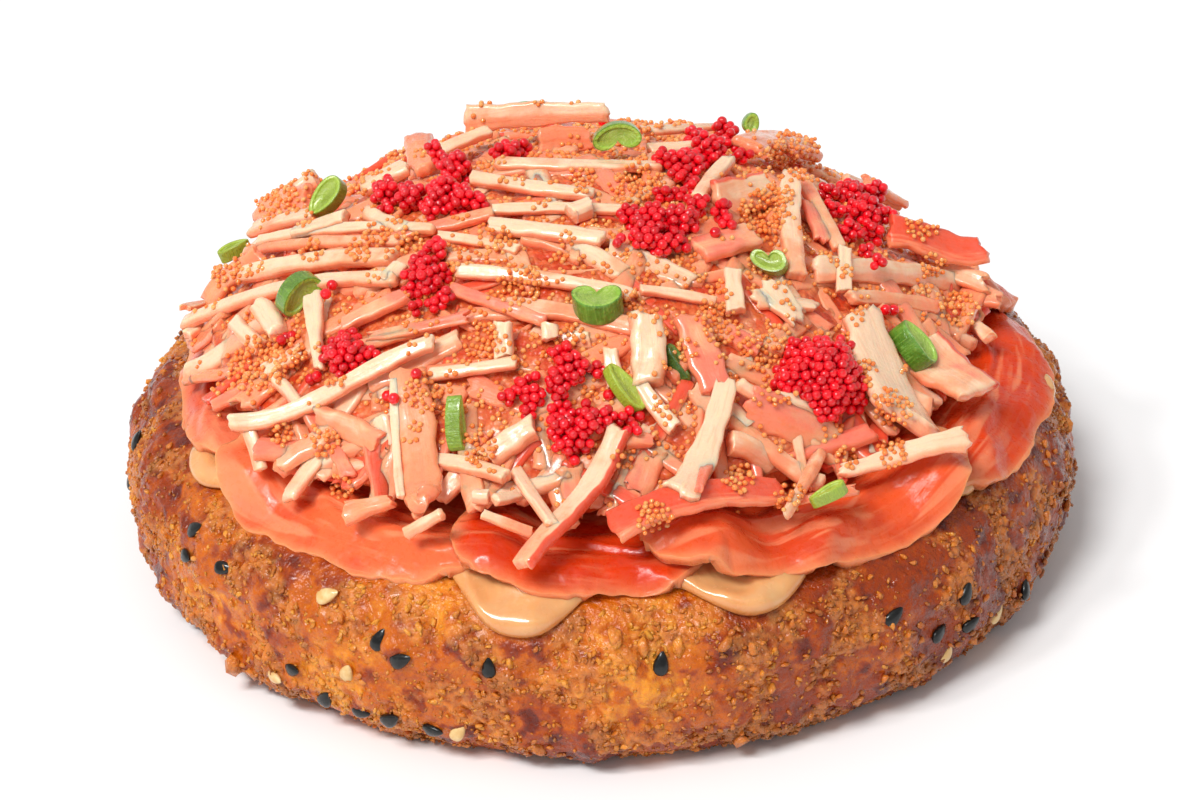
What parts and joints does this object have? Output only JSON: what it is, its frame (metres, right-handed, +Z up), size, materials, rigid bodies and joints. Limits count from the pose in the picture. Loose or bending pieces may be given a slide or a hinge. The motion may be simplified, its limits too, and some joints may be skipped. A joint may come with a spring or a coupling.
{
  "type": "sushi pizza",
  "caption": "Round fried rice patty topped with mayonnaise, raw salmon slices and a heap of shredded crab salad with roe and scallion.",
  "frame": {"origin": "middle of the flat underside of the rice patty", "axes": "+Z up through the heap, -Y towards the side shown in front, +X to its right"},
  "size_m": [0.1122, 0.1126, 0.0477],
  "materials": {
    "fried_crust": "crisp fried crumb, golden to toasted brown, with an oily gloss",
    "mayonnaise": "smooth glossy cream, slightly orange",
    "raw_salmon": "wet translucent orange flesh with faint pale fat lines",
    "crab_shreds": "moist fibrous cream to pink shreds, some with a red skin",
    "red_roe": "glossy translucent red beads",
    "orange_roe": "tiny glossy translucent orange beads",
    "scallion": "moist green skin with a paler cut face",
    "black_sesame": "black seed coat, satin",
    "pale_sesame": "toasted cream seed coat, satin"
  },
  "bodies": {
    "root": {"rice_patty": "fried_crust", "mayo_layer": "mayonnaise", "salmon_back": "raw_salmon", "salmon_back_left": "raw_salmon", "salmon_left": "raw_salmon", "salmon_front_left": "raw_salmon", "salmon_front": "raw_salmon", "salmon_right": "raw_salmon", "salmon_front_right": "raw_salmon", "salmon_back_right": "raw_salmon", "crab_salad": "crab_shreds", "roe_back_left": "red_roe", "roe_back_small": "red_roe", "roe_back_right": "red_roe", "roe_centre": "red_roe", "roe_right": "red_roe", "roe_mid_left": "red_roe", "roe_left_front": "red_roe", "roe_front_upper": "red_roe", "roe_front_lower": "red_roe", "roe_right_front": "red_roe", "scallion_back": "scallion", "scallion_skyline": "scallion", "scallion_left_back": "scallion", "scallion_left": "scallion", "scallion_middle": "scallion", "scallion_right_middle": "scallion", "scallion_right": "scallion", "scallion_front": "scallion", "scallion_front_left": "scallion", "scallion_dark": "scallion", "scallion_low_right": "scallion", "scallion_left_rim": "scallion", "scallion_far_back": "scallion"}
  },
  "joints": []
}
